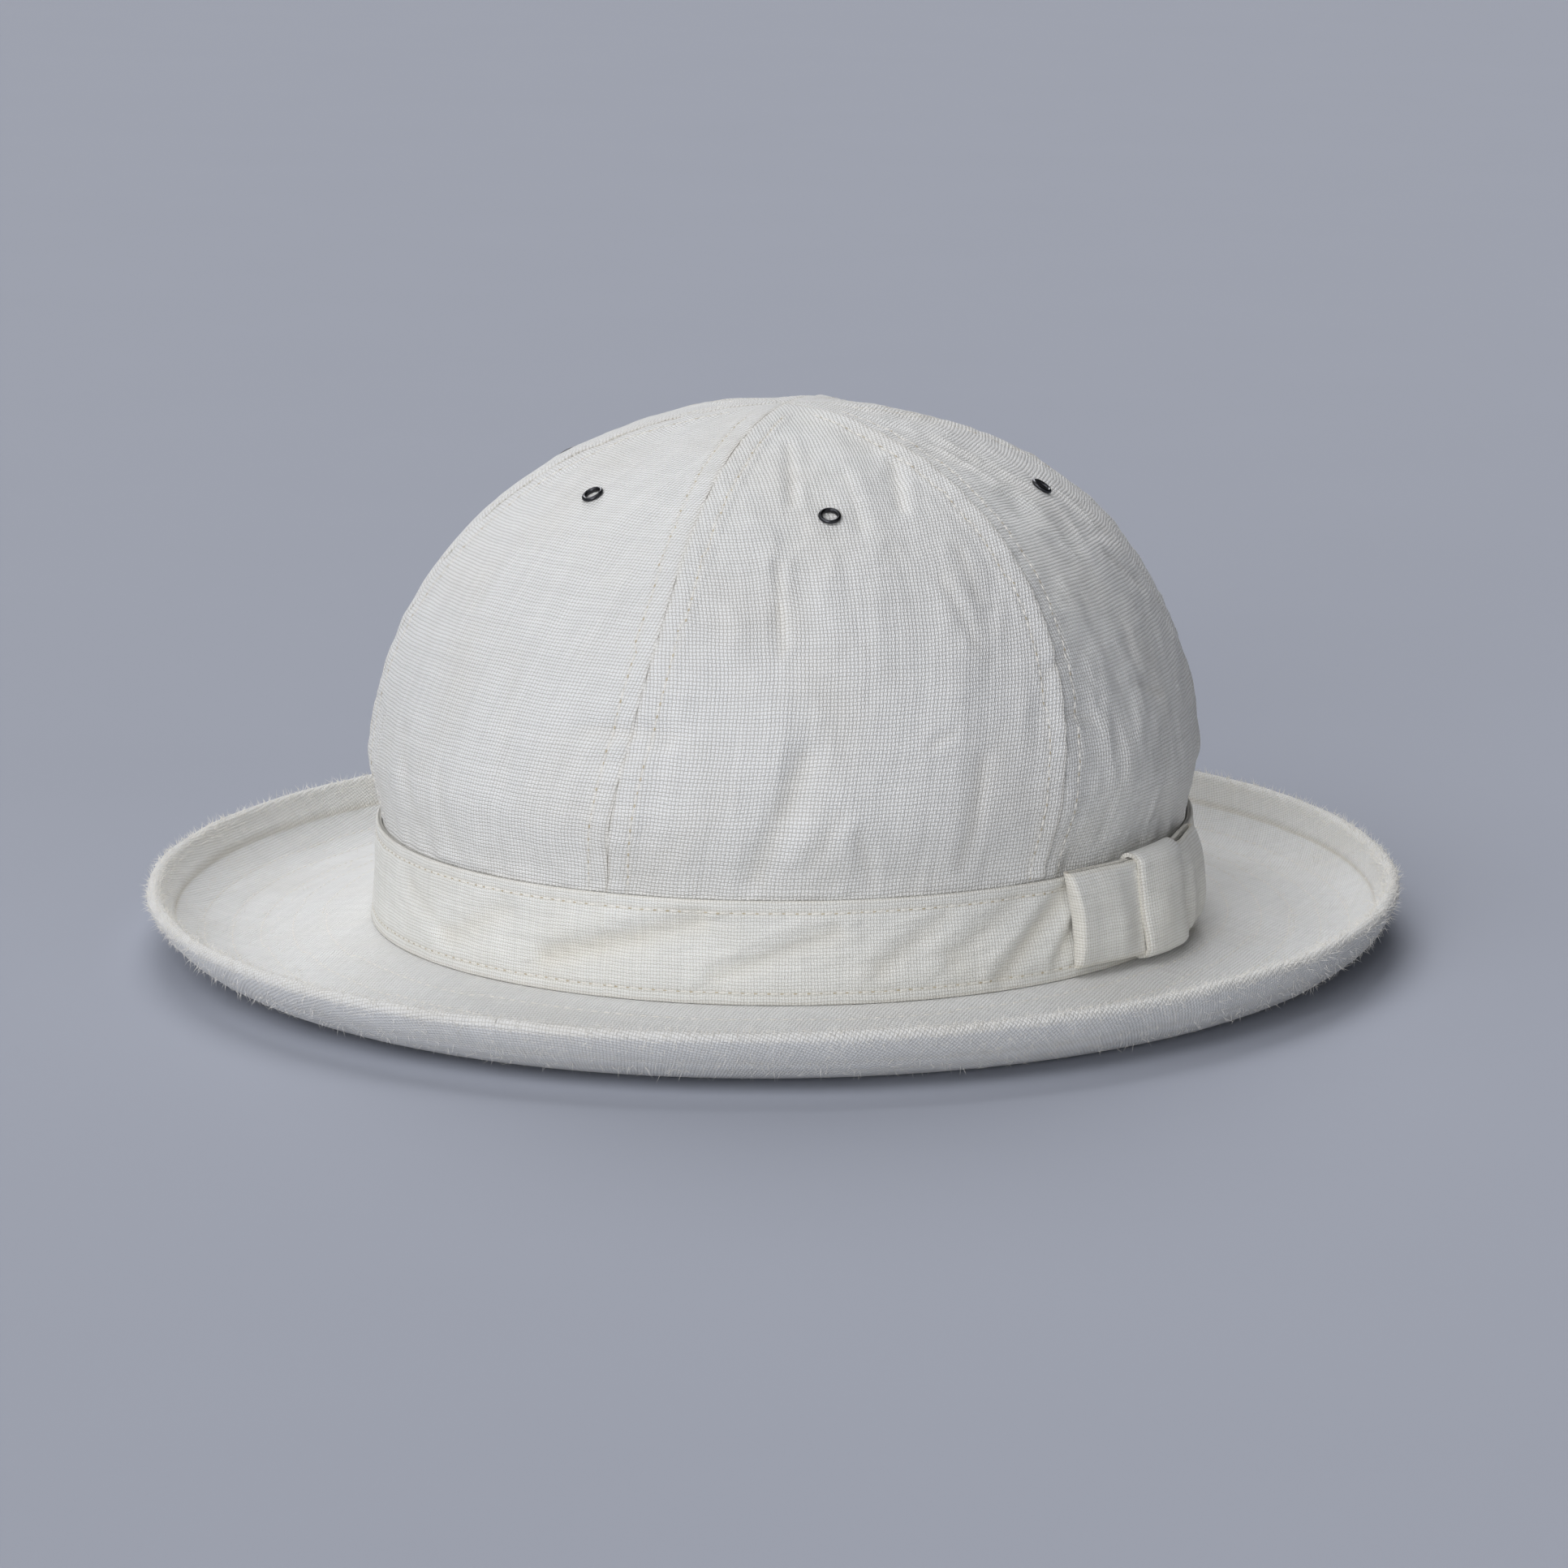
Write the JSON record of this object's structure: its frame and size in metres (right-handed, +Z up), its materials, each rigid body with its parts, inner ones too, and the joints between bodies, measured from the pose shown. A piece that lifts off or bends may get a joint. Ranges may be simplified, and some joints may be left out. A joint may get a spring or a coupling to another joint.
{
  "type": "hat",
  "caption": "Cloth hat with a domed panelled crown, vent eyelets, a flat band with a side bow and a brim turned up all round.",
  "frame": {"origin": "middle of the brim's outline on the surface that the hat rests on", "axes": "+Z up through the crown, -Y towards the front seam, +X towards the wearer's left where the bow is"},
  "size_m": [0.2739, 0.286, 0.1179],
  "materials": {
    "crown_linen": "plain-woven ivory linen",
    "band_linen": "plain-woven ivory linen strip",
    "brim_linen": "doubled and sewn-through ivory linen",
    "eyelet_metal": "dark gunmetal plate"
  },
  "bodies": {
    "root": {"crown_panel_1": "crown_linen", "crown_panel_2": "crown_linen", "crown_panel_3": "crown_linen", "crown_panel_4": "crown_linen", "crown_panel_5": "crown_linen", "crown_panel_6": "crown_linen", "eyelet_1": "eyelet_metal", "eyelet_2": "eyelet_metal", "eyelet_3": "eyelet_metal", "eyelet_4": "eyelet_metal", "eyelet_5": "eyelet_metal", "eyelet_6": "eyelet_metal", "hat_band": "band_linen", "bow_front_loop": "band_linen", "bow_keeper": "band_linen", "bow_back_loop": "band_linen", "brim": "brim_linen"}
  },
  "joints": []
}
